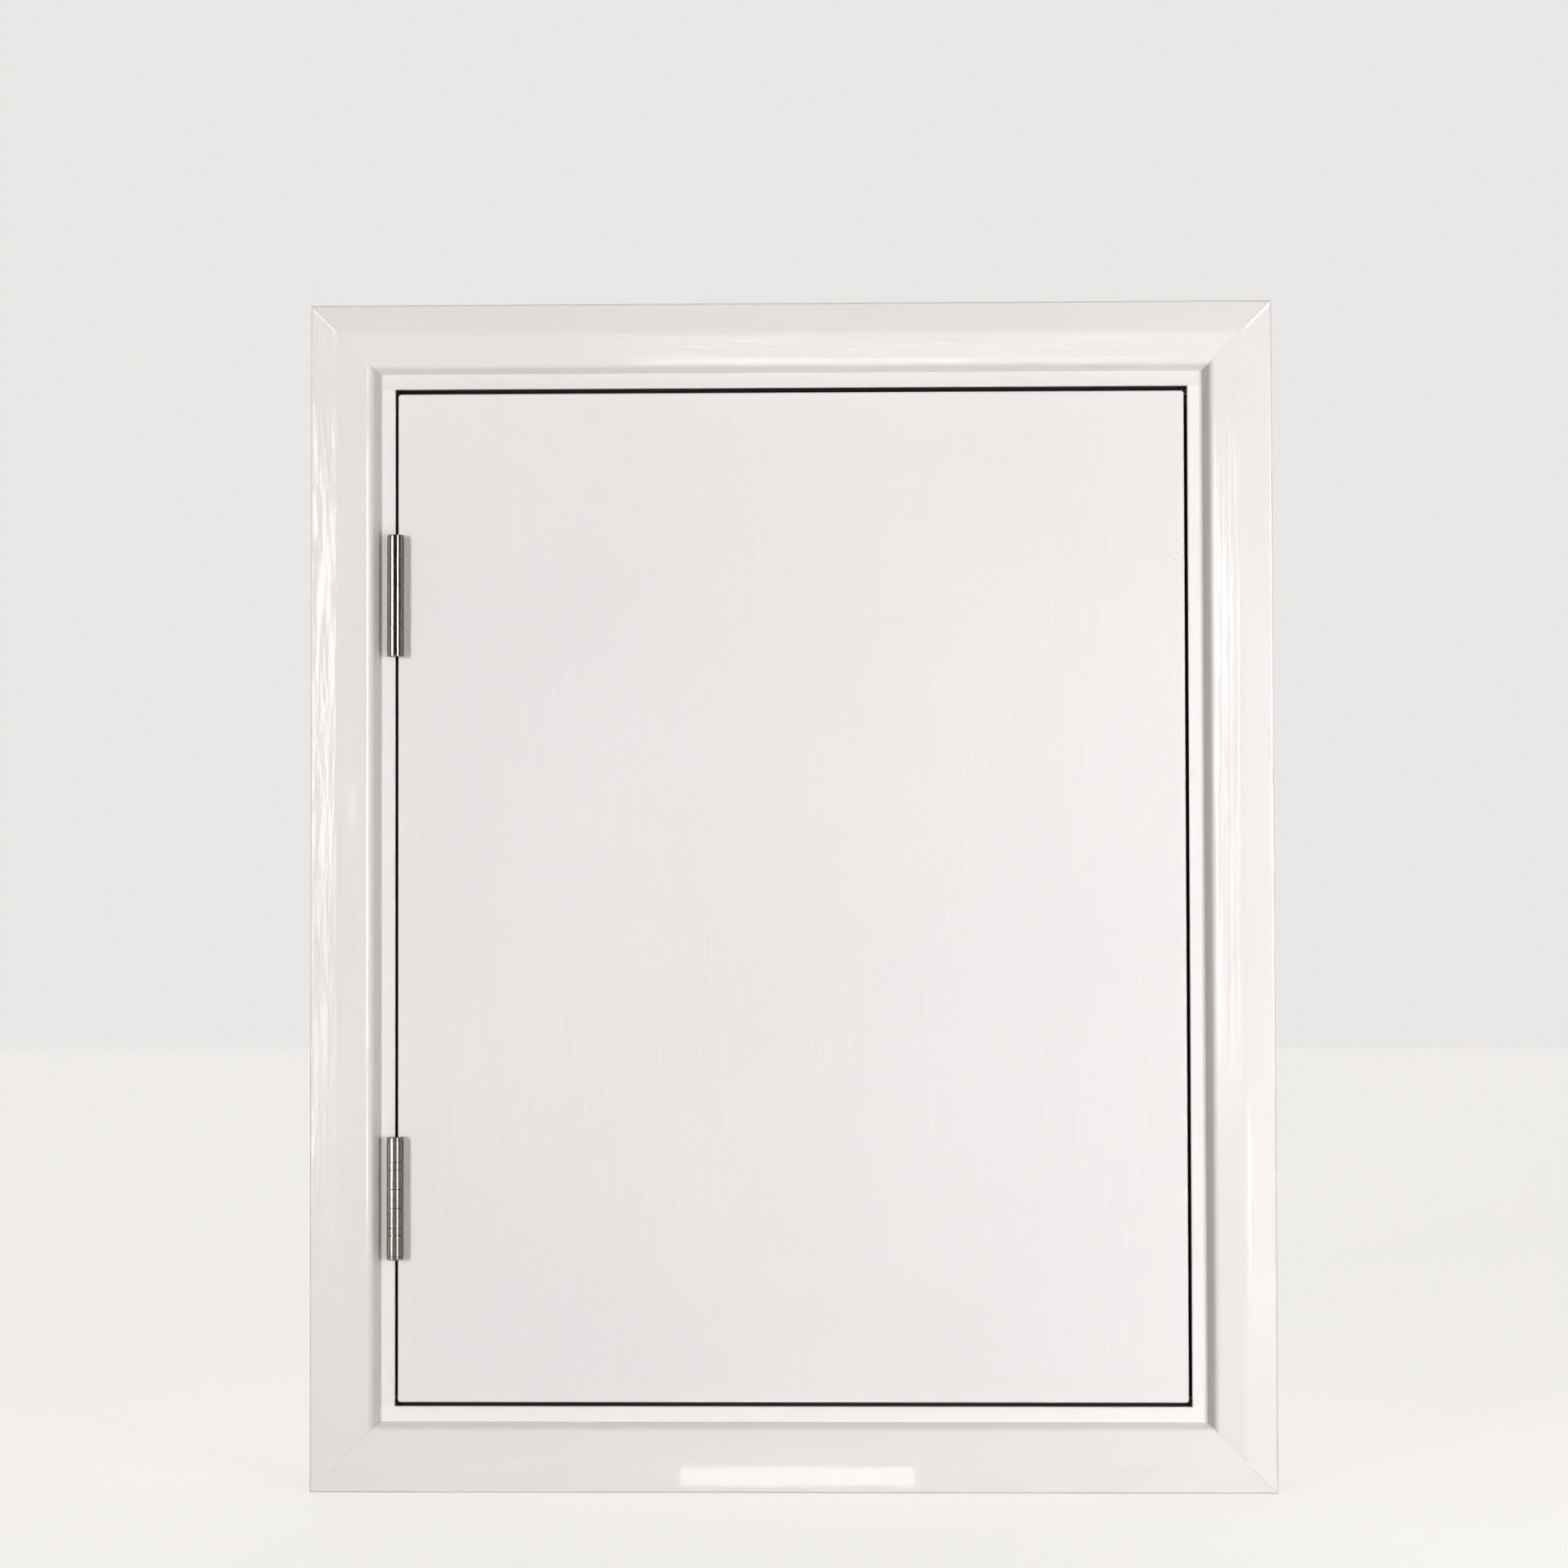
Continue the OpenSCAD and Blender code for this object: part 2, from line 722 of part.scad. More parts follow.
// A stile from the given side of the leaf, before its cuts
module leaf_stile(x) {
    intersection() {
        translate([x, skin_t, leaf_z0]) cube([stile_w, frame_t, leaf_h]);
        leaf_outline(leaf_t);
    }
}

module leaf_stile_hinge_side() {
    color("burlywood") difference() {
        leaf_stile(leaf_x0);
        leaf_recesses();
        tenon(leaf_z0 + tenon_inset, wood_clear);
        tenon(leaf_z1 - rail_w + tenon_inset, wood_clear);
        door_screw_places() screw_space(hinge_screw_d, hinge_screw_head_d, hinge_screw_l);
    }
}

module leaf_stile_latch_side() {
    color("burlywood") difference() {
        leaf_stile(leaf_x1 - stile_w);
        tenon(leaf_z0 + tenon_inset, wood_clear);
        tenon(leaf_z1 - rail_w + tenon_inset, wood_clear);
        strike_screw_places() screw_space(strike_screw_d, strike_screw_head_d, strike_screw_l);
    }
}

module leaf_rail(z) {
    translate([leaf_x0 + stile_w, skin_t, z]) cube([leaf_w - 2 * stile_w, frame_t, rail_w]);
    tenon(z + tenon_inset, 0);
}

module leaf_rail_top() {
    color("burlywood") leaf_rail(leaf_z1 - rail_w);
}

module leaf_rail_bottom() {
    color("burlywood") leaf_rail(leaf_z0);
}

module leaf_core() {
    color("khaki")
        translate([leaf_x0 + stile_w + wood_clear, skin_t, leaf_z0 + rail_w + wood_clear])
            cube([
                leaf_w - 2 * (stile_w + wood_clear), frame_t, leaf_h - 2 * (rail_w + wood_clear)
            ]);
}

module at_hinge(z) {
    translate([pin_x, pin_y, z]) children();
}

// The section of a knuckle rolled from its leaf, with the seam left open
module knuckle_section() {
    difference() {
        circle(knuckle_r);
        circle(bore_r);
        polygon([
            [-knuckle_r - cut, 0], [knuckle_seam - bore_r, 0], [knuckle_seam - plate_in, swage_y],
            [knuckle_seam - plate_in, knuckle_r + cut], [-knuckle_r - cut, knuckle_r + cut]
        ]);
    }
    polygon([
        [-knuckle_r, 0], [-bore_r, 0], [-plate_in, swage_y], [-plate_in, plate_y1],
        [-plate_out, plate_y1], [-plate_out, swage_y]
    ]);
}

// The frame side leaf of a hinge, which mirrored is the door side leaf
module hinge_leaf(knuckles) {
    difference() {
        union() {
            translate([-plate_out, notch_y, 0]) cube([hinge_plate_t, plate_y1 - notch_y, hinge_h]);
            for (k = knuckles) translate([0, 0, k[0]]) linear_extrude(k[1]) knuckle_section();
        }
        translate([0, 0, -cut]) cylinder(r = bore_r, h = hinge_h + 2 * cut);
        for (spot = hinge_screw_spots)
            translate([-plate_in, spot[0], spot[1]]) rotate([0, 90, 0])
                screw_space(hinge_screw_d, hinge_screw_head_d, hinge_screw_l);
    }
}

module hinge_frame_leaf(z) {
    color("silver") at_hinge(z) hinge_leaf(frame_knuckles);
}

module hinge_door_leaf(z) {
    color("silver") at_hinge(z) mirror([1, 0, 0]) hinge_leaf(door_knuckles);
}

// Half section of a pin tip, its flat face on y = 0
module tip_section() {
    square([tip_r, tip_h - tip_round]);
    square([tip_r - tip_round, tip_h]);
    translate([tip_r - tip_round, tip_h - tip_round]) circle(tip_round);
}

module hinge_pin(z) {
    color("silver") at_hinge(z) rotate_extrude() {
        translate([0, hinge_h + tip_gap]) tip_section();
        translate([0, pin_clear - tip_gap - tip_socket])
            square([pin_r, hinge_h + 2 * tip_gap + tip_socket]);
    }
}

module hinge_pin_cap(z) {
    color("silver") at_hinge(z) translate([0, 0, -tip_gap]) mirror([0, 0, 1]) rotate_extrude()
        difference() {
            tip_section();
            translate([0, -cut]) square([bore_r, tip_socket + cut]);
        }
}

// Places a piece drawn for the upper bearing of a hinge in both of its bearings
module at_bearings(z) {
    at_hinge(z) {
        translate([0, 0, hinge_h - bearing_z - bearing_h]) children();
        translate([0, 0, bearing_z + bearing_h]) mirror([0, 0, 1]) children();
    }
}

module hinge_bearing_cups(z) {
    color("gray") at_bearings(z) rotate_extrude() difference() {
        union() {
            polygon([
                [bore_r, 0], [knuckle_r - cup_chamfer, 0], [knuckle_r, cup_chamfer],
                [knuckle_r, bearing_h - cup_chamfer], [knuckle_r - cup_chamfer, bearing_h],
                [bore_r, bearing_h]
            ]);
            translate([bore_r, 0]) square([cup_boss_r - bore_r, bearing_h + knuckle_gap]);
        }
        translate([0, -cut]) square([cup_in_r, bearing_h - race_t + cut]);
        translate([ball_orbit_r, ball_z]) circle(ball_d / 2 + ball_clear);
    }
}

module hinge_bearing_balls(z) {
    color("silver") at_bearings(z)
        for (i = [0 : ball_count - 1])
            rotate(360 * i / ball_count) translate([ball_orbit_r, 0, ball_z]) sphere(d = ball_d, $fn = ball_fn);
}

module hinge_bearing_washers(z) {
    color("gray") at_bearings(z) rotate_extrude()
        translate([bore_r, -knuckle_gap])
            square([cup_in_r - washer_clear - bore_r, washer_top + knuckle_gap]);
}

module upper_hinge_frame_leaf() { hinge_frame_leaf(upper_hinge_z); }
module upper_hinge_door_leaf() { hinge_door_leaf(upper_hinge_z); }
module upper_hinge_pin() { hinge_pin(upper_hinge_z); }
module upper_hinge_pin_cap() { hinge_pin_cap(upper_hinge_z); }
module upper_hinge_bearing_cups() { hinge_bearing_cups(upper_hinge_z); }
module upper_hinge_bearing_balls() { hinge_bearing_balls(upper_hinge_z); }
module upper_hinge_bearing_washers() { hinge_bearing_washers(upper_hinge_z); }
module lower_hinge_frame_leaf() { hinge_frame_leaf(lower_hinge_z); }
module lower_hinge_door_leaf() { hinge_door_leaf(lower_hinge_z); }
module lower_hinge_pin() { hinge_pin(lower_hinge_z); }
module lower_hinge_pin_cap() { hinge_pin_cap(lower_hinge_z); }
module lower_hinge_bearing_cups() { hinge_bearing_cups(lower_hinge_z); }
module lower_hinge_bearing_balls() { hinge_bearing_balls(lower_hinge_z); }
module lower_hinge_bearing_washers() { hinge_bearing_washers(lower_hinge_z); }

module frame_screw_places() {
    for (z = hinge_zs, spot = hinge_screw_spots)
        translate([-open_x, pin_y + spot[0], z + spot[1]]) rotate([0, 90, 0]) children();
}

module door_screw_places() {
    for (z = hinge_zs, spot = hinge_screw_spots)
        translate([leaf_x0, pin_y + spot[0], z + spot[1]]) rotate([0, -90, 0]) children();
}

module hinge_frame_screws() {
    color("silver") frame_screw_places()
        countersunk_screw(hinge_screw_d, hinge_screw_head_d, hinge_screw_l);
}

module hinge_door_screws() {
    color("silver") door_screw_places()
        countersunk_screw(hinge_screw_d, hinge_screw_head_d, hinge_screw_l);
}

// Places a piece drawn along Z from the front of the latch into the wall
module along_latch(y) {
    translate([latch_x, y, mid_z]) rotate([-90, 0, 0]) children();
}

module latch_screw_places() {
    for (side = [-1, 1])
        translate([stop_x - latch_flange_t, latch_screw_y, mid_z + side * latch_screw_pitch / 2])
            rotate([0, -90, 0]) children();
}

module touch_latch_housing() {
    color("white") difference() {
        union() {
            along_latch(latch_y) linear_extrude(latch_l) rounded_rect(latch_w, latch_w, latch_corner_r);
            translate([stop_x - latch_flange_t, latch_screw_y, mid_z]) rotate([0, 90, 0])
                linear_extrude(latch_flange_t)
                    rounded_rect(latch_flange_l, latch_flange_w, latch_flange_r);
        }
        along_latch(latch_y - cut) cylinder(r = latch_cavity_r, h = latch_cavity_l + cut);
        latch_screw_places() screw_space(latch_screw_d, latch_screw_head_d, latch_screw_l);
    }
}

// The bush that closes the front of the housing and guides the plunger
module touch_latch_nose() {
    color("white") along_latch(nose_y) difference() {
        union() {
            cylinder(d = nose_collar_d, h = nose_flange_t);
            cylinder(r = latch_cavity_r - pin_clear, h = nose_flange_t + nose_sleeve_l);
        }
        translate([0, 0, -cut])
            cylinder(r = plunger_d / 2 + plunger_clear, h = nose_flange_t + nose_sleeve_l + 2 * cut);
    }
}

module touch_latch_plunger() {
    color("lightgray") along_latch(plunger_y) difference() {
        union() {
            cylinder(d = plunger_d, h = plunger_l);
            translate([0, 0, plunger_l - plunger_flange_t])
                cylinder(r = plunger_flange_r, h = plunger_flange_t);
        }
        translate([0, 0, -cut]) cylinder(d = magnet_d + 2 * pin_clear, h = magnet_t + cut);
    }
}

module touch_latch_magnet() {
    color("dimgray") along_latch(plunger_y) cylinder(d = magnet_d, h = magnet_t);
}

// Point of a spring ring: turn is the angle round the coil and side the angle round the wire
function spring_point(turn, side) =
    let (r = spring_d / 2 + spring_wire_d / 2 * cos(side))
    [
        r * cos(turn), r * sin(turn),
        (spring_y1 - spring_y0) * turn / (360 * spring_turns) + spring_wire_d / 2 * sin(side)
    ];

module touch_latch_spring() {
    rings = spring_turns * spring_steps;
    points = [
        for (i = [0 : rings], j = [0 : spring_sides - 1])
            spring_point(360 * i / spring_steps, 360 * j / spring_sides)
    ];
    walls = [
        for (i = [0 : rings - 1], j = [0 : spring_sides - 1])
            let (a = i * spring_sides, n = (j + 1) % spring_sides)
            [a + j, a + n, a + n + spring_sides, a + j + spring_sides]
    ];
    first = [for (j = [spring_sides - 1 : -1 : 0]) j];
    last = [for (j = [0 : spring_sides - 1]) rings * spring_sides + j];
    color("silver") along_latch(spring_y0) polyhedron(points, concat([first, last], walls));
}

module touch_latch_screws() {
    color("silver") latch_screw_places()
        countersunk_screw(latch_screw_d, latch_screw_head_d, latch_screw_l);
}

module strike_screw_places() {
    for (side = [-1, 1])
        translate([latch_x, strike_y, mid_z + side * strike_screw_pitch / 2])
            rotate([-90, 0, 0]) children();
}

module strike_plate() {
    color("silver") difference() {
        translate([latch_x, strike_y, mid_z]) rotate([90, 0, 0])
            linear_extrude(strike_t) rounded_rect(strike_w, strike_l, strike_corner_r);
        strike_screw_places() screw_space(strike_screw_d, strike_screw_head_d, strike_screw_l);
    }
}

module strike_screws() {
    color("silver") strike_screw_places()
        countersunk_screw(strike_screw_d, strike_screw_head_d, strike_screw_l);
}

lining_sill();
lining_head();
lining_jamb_hinge_side();
lining_jamb_latch_side();
architrave_left();
architrave_right();
architrave_top();
architrave_bottom();
stop_bottom();
stop_top();
stop_hinge_side();
stop_latch_side();
seal_bottom();
seal_top();
seal_hinge_side();
seal_latch_side();
lining_screws();
architrave_nails();
stop_nails();
leaf_front_skin();
leaf_back_skin();
leaf_stile_hinge_side();
leaf_stile_latch_side();
leaf_rail_top();
leaf_rail_bottom();
leaf_core();
upper_hinge_frame_leaf();
upper_hinge_door_leaf();
upper_hinge_pin();
upper_hinge_pin_cap();
upper_hinge_bearing_cups();
upper_hinge_bearing_balls();
upper_hinge_bearing_washers();
lower_hinge_frame_leaf();
lower_hinge_door_leaf();
lower_hinge_pin();
lower_hinge_pin_cap();
lower_hinge_bearing_cups();
lower_hinge_bearing_balls();
lower_hinge_bearing_washers();
hinge_frame_screws();
hinge_door_screws();
touch_latch_housing();
touch_latch_nose();
touch_latch_plunger();
touch_latch_magnet();
touch_latch_spring();
touch_latch_screws();
strike_plate();
strike_screws();
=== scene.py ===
"""Looks of the eaves access door: paint, steel, rubber, timber, floor, lamps and camera.

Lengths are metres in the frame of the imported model: X to the right, Y into the wall, Z up.
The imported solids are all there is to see, so this script adds no shapes of its own.
"""

import math

import bpy
from mathutils import Matrix, Vector


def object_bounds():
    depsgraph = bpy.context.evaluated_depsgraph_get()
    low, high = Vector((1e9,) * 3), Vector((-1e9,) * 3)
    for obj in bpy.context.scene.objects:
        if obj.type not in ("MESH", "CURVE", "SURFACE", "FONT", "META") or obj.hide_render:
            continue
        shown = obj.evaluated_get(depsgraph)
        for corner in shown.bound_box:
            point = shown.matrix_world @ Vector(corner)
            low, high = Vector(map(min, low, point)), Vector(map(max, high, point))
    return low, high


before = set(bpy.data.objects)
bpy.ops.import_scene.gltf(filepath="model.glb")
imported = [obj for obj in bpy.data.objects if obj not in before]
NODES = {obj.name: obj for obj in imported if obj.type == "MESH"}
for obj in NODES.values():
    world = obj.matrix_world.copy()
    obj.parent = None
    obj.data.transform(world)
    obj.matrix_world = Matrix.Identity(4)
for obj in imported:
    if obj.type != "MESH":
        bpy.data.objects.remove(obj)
CAD_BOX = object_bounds()

X, Y, Z = 0, 1, 2

# Linear colours
PAINT = (0.815, 0.775, 0.760)
LEAF_PAINT = (0.810, 0.768, 0.757)
# The next two colours are painted shade for the faces inside the gap
GAP_SHADE_DARK = (0.16, 0.155, 0.15)
GAP_SHADE_LIGHT = (0.62, 0.60, 0.59)
SPECK = (0.16, 0.14, 0.13)
PINE_LIGHT = (0.68, 0.47, 0.27)
PINE_DARK = (0.45, 0.26, 0.12)
STEEL = (0.46, 0.425, 0.38)
ZINC = (0.58, 0.60, 0.63)
RUBBER = (0.006, 0.006, 0.007)
PLASTIC = (0.72, 0.71, 0.68)
FERRITE = (0.035, 0.035, 0.04)
CORE = (0.45, 0.31, 0.18)
FLOOR_COLOUR = (0.46, 0.45, 0.44)
FLOOR_GLOW = (1.0, 0.98, 0.965)
SKY_COLOUR = (0.82, 0.80, 0.785)
WHITE_LIGHT = (1, 1, 1)
COOL_LIGHT = (0.975, 1.0, 1.005)

# Roughness of the paints
GLOSS, EGGSHELL, SATIN = 0.09, 0.20, 0.34
DUSTY, BARE_WOOD = 0.55, 0.7

# Places on the object
MIDDLE = (0, 0, 0.362)
FOOT_X, FOOT_Z = 0.273, 0.347  # inner foot of the architrave, from the middle of the door
# Knots: their place, their reach along X, Y and Z, and how far they push the growth lines
LEFT_KNOTS = (((-0.3010, -0.0145, 0.4790), (0.0060, 1.0, 0.0150), 0.0075),
              ((-0.3130, -0.0145, 0.4350), (0.0100, 1.0, 0.0300), -0.0050))
TOP_KNOTS = (((0.0150, -0.0145, 0.7270), (0.0300, 1.0, 0.0070), 0.0060),)
# Dark specks: X and Z of each
LEAF_MARKS = ((0.2562, 0.588), (0.2543, 0.5837), (0.2603, 0.5848), (0.2606, 0.5514),
              (0.1368, 0.1163), (-0.0175, 0.2917))
MARK_CORE, MARK_SIZE, MARK_STRENGTH = 0.0001, 0.00055, 0.55

# Spans of the architrave's section, as distances outward from its inner foot
CORNER_ROUGH = (0.0045, 0.0066)
NOSE_FRONT = (0.0065, 0.0080)
CREST = (0.0235, 0.0275)  # the slope lies inside the crest, the outer band outside it
OUTER_ARRIS = (0.0429, 0.0452)
MITRE_SEAM, MITRE_RIDGE = (0.0002, 0.0007), (0.0004, 0.0022)  # half widths across the mitre

# Bare wood: every point past one of these limits, given as axis, sign and level
LINING_BARE = ((X, 1, 0.2876), (X, -1, 0.2876), (Z, -1, -0.0003), (Z, 1, 0.7237), (Y, 1, 0.1017))
ARCHITRAVE_BARE = ((Y, 1, -0.00002),)

# Painted shade inside the gap, laid on as dark coats: the depth where each ends, and its colour.
# They start over one span of depth and fade out over a short length.
GAP_SHADE_START, GAP_SHADE_FADE = (0.0005, 0.0018), 0.001
LINING_GAP_SHADE, LEAF_GAP_SHADE = (0.0375, GAP_SHADE_DARK), (0.0320, GAP_SHADE_LIGHT)

# Growth lines of the wood, and what shows of them through the paint
RING_PITCH, RING_WANDER, RING_JAG, RING_SLANT = 0.0025, 0.05, 0.0009, 0.7
CALM = 0.12  # share of the relief that shows on the calm half of a moulding
LINING_GRAIN, LEAF_GRAIN = 0.5, 0.3

# Noises drawn out along a board: length, scale, detail and roughness
WANDER = (0.05, 16, 2, 0.5)
JAG = (0.45, 520, 2, 0.6)
LINE_STRENGTH = (0.05, 130, 1, 0.5)
BRUSH = (0.02, 700, 2, 0.5)
SWELL = (0.3, 28, 2, 0.45)
GRIME = (0.2, 60, 5, 0.6)
PULL = (0.05, 420, 2, 0.5)
PULL_REGION = (0.4, 9, 1, 0.5)
CLOUDY_FIGURE = (0.16, 120, 3, 0.5)
WOOD_FIBRE = (0.02, 900, 3, 0.6)
STEEL_LINES = (0.05, 2600, 2, 0.6)

# Even noises: scale, detail and roughness
NIBS = (950, 2, 0.6)
PAINT_CLOUD = (5, 3, 0.5)
STEEL_CLOUD = (160, 3, 0.6)
STEEL_SCRATCH = (420, 4, 0.75)
MOULDED_SKIN = (2400, 2, 0.6)
MOULDED_CLOUD = (90, 3, 0.5)
CHIP_SCALE, CHIP_FLATNESS = 420, 0.6
MOST = (0.3, 0.7)  # where most of a noise lies

# Heights of the relief; the two called FIGURE are for one unit of a moulding's figure
GRAIN_DEPTH, BRUSH_HEIGHT, NIB_HEIGHT = 0.000045, 0.000010, 0.000012
SWELL_HEIGHT, SWELL_FIGURE, CLOUD_FIGURE = 0.0004, 0.0008, 0.0007
MITRE_BEAD, NOSE_BEAD, ARRIS_BEAD = 0.00010, 0.00010, 0.00026
LINE_HEIGHT, SKIN_HEIGHT, CHIP_HEIGHT = 0.0000012, 0.00006, 0.0002

# Painted shade on the flanks of a hinge barrel, standing in for the shaded wood they mirror:
# depths between which they come in and go out
FLANK_IN, FLANK_OUT, FLANK_SHADE = (-0.0106, -0.0076), (-0.0054, -0.0040), 0.10


# Node helpers

class Nodes:
    """A material's node tree with short calls for the nodes that the looks use."""

    def __init__(self, name):
        self.material = bpy.data.materials.new(name)
        self.material.use_nodes = True
        self.tree = self.material.node_tree
        self.shader = self.tree.nodes["Principled BSDF"]
        self.coords = self.tree.nodes.new("ShaderNodeTexCoord").outputs["Object"]

    def new(self, kind, **props):
        node = self.tree.nodes.new(kind)
        for key, value in props.items():
            setattr(node, key, value)
        return node

    def put(self, value, socket):
        """Links a socket, or sets a plain value."""
        if hasattr(value, "is_output"):
            self.tree.links.new(value, socket)
        else:
            socket.default_value = value

    def xyz(self):
        """The three parts of the piece's own coordinates."""
        node = self.new("ShaderNodeSeparateXYZ")
        self.put(self.coords, node.inputs[0])
        return node.outputs

    def place(self, scale=(1, 1, 1), offset=(0, 0, 0)):
        """The piece's own coordinates, stretched and moved."""
        node = self.new("ShaderNodeMapping")
        self.put(self.coords, node.inputs["Vector"])
        node.inputs["Scale"].default_value = scale
        node.inputs["Location"].default_value = offset
        return node.outputs["Vector"]

    def noise(self, vector, scale, detail, roughness):
        node = self.new("ShaderNodeTexNoise")
        self.put(vector, node.inputs["Vector"])
        for key, value in (("Scale", scale), ("Detail", detail), ("Roughness", roughness)):
            node.inputs[key].default_value = value
        return node.outputs["Fac"]

    def drawn(self, axis, length, scale, detail, roughness, offset=(0, 0, 0)):
        """Noise that is drawn out along one axis; a small length draws it far."""
        return self.noise(self.place(along(axis, length), offset), scale, detail, roughness)

    def ramp(self, fac, low, high, value_low=0.0, value_high=1.0):
        """Maps low..high of a value to value_low..value_high, and holds it beyond."""
        node = self.new("ShaderNodeMapRange", interpolation_type="SMOOTHSTEP")
        self.put(fac, node.inputs["Value"])
        for key, value in (("From Min", low), ("From Max", high), ("To Min", value_low),
                           ("To Max", value_high)):
            node.inputs[key].default_value = value
        return node.outputs["Result"]

    def math(self, operation, a, b=0.0, c=0.0):
        node = self.new("ShaderNodeMath", operation=operation)
        for value, socket in zip((a, b, c), node.inputs):
            self.put(value, socket)
        return node.outputs[0]

    def mix(self, fac, a, b):
        """Mixes two colours; zero gives the first."""
        node = self.new("ShaderNodeMix", data_type="RGBA")
        self.put(fac, node.inputs[0])
        for value, index in ((a, 6), (b, 7)):
            self.put(value if hasattr(value, "is_output") else (*value, 1.0), node.inputs[index])
        return node.outputs[2]

    def bump(self, height, distance, normal=None):
        """Raises a height onto the normal that came before it."""
        node = self.new("ShaderNodeBump")
        self.put(height, node.inputs["Height"])
        node.inputs["Distance"].default_value = distance
        if normal:
            self.put(normal, node.inputs["Normal"])
        return node.outputs["Normal"]

    def finish(self, **sockets):
        """Sets the shader's inputs, named with underscores, and gives the material."""
        for key, value in sockets.items():
            name = key.replace("_", " ")
            if name.endswith("Color") and not hasattr(value, "is_output"):
                value = (*value, 1.0)
            self.put(value, self.shader.inputs[name])
        return self.material


def scaled(colour, factor):
    return tuple(c * factor for c in colour)


def along(axis, length):
    """Scales for a texture that is drawn out along one axis."""
    return tuple(length if i == axis else 1 for i in range(3))


# Materials

def rings(n, axis, knots=()):
    """Growth lines of a board that runs along an axis: they wander, and bend round its knots."""
    xyz = n.xyz()
    across = n.math("MULTIPLY_ADD", xyz[Y], RING_SLANT, xyz[Z if axis == X else X])
    course = n.math("MULTIPLY_ADD", n.drawn(axis, *WANDER), RING_WANDER, across)
    for place, reach, push in knots:
        away = n.new("ShaderNodeVectorMath", operation="LENGTH")
        n.put(n.place([1 / r for r in reach], [-p / r for p, r in zip(place, reach)]),
              away.inputs[0])
        squared = n.math("POWER", away.outputs["Value"], 2.0)
        near = n.math("EXPONENT", n.math("MULTIPLY", squared, -1.0))
        course = n.math("MULTIPLY_ADD", near, push, course)
    course = n.math("MULTIPLY_ADD", n.drawn(axis, *JAG), RING_JAG, course)
    wave = n.math("SINE", n.math("MULTIPLY", course, 2 * math.pi / RING_PITCH))
    strength = n.ramp(n.drawn(axis, *LINE_STRENGTH), 0.3, 0.6, 0.3, 1.0)
    return n.math("MULTIPLY", n.ramp(wave, 0.1, 1.0), strength)


def past_limits(n, limits):
    """One where a coordinate is past a limit."""
    xyz = n.xyz()
    mask = 0.0
    for axis, sign, level in limits:
        past = n.math("GREATER_THAN", n.math("MULTIPLY", xyz[axis], sign), level)
        mask = n.math("MAXIMUM", past, mask)
    return mask


def from_foot(n):
    """Distances outward from the inner foot of the architrave, sideways and up or down."""
    xyz = n.xyz()
    sideways = n.math("SUBTRACT", n.math("ABSOLUTE", xyz[X]), FOOT_X)
    height = n.math("ABSOLUTE", n.math("SUBTRACT", xyz[Z], MIDDLE[Z]))
    return sideways, n.math("SUBTRACT", height, FOOT_Z)


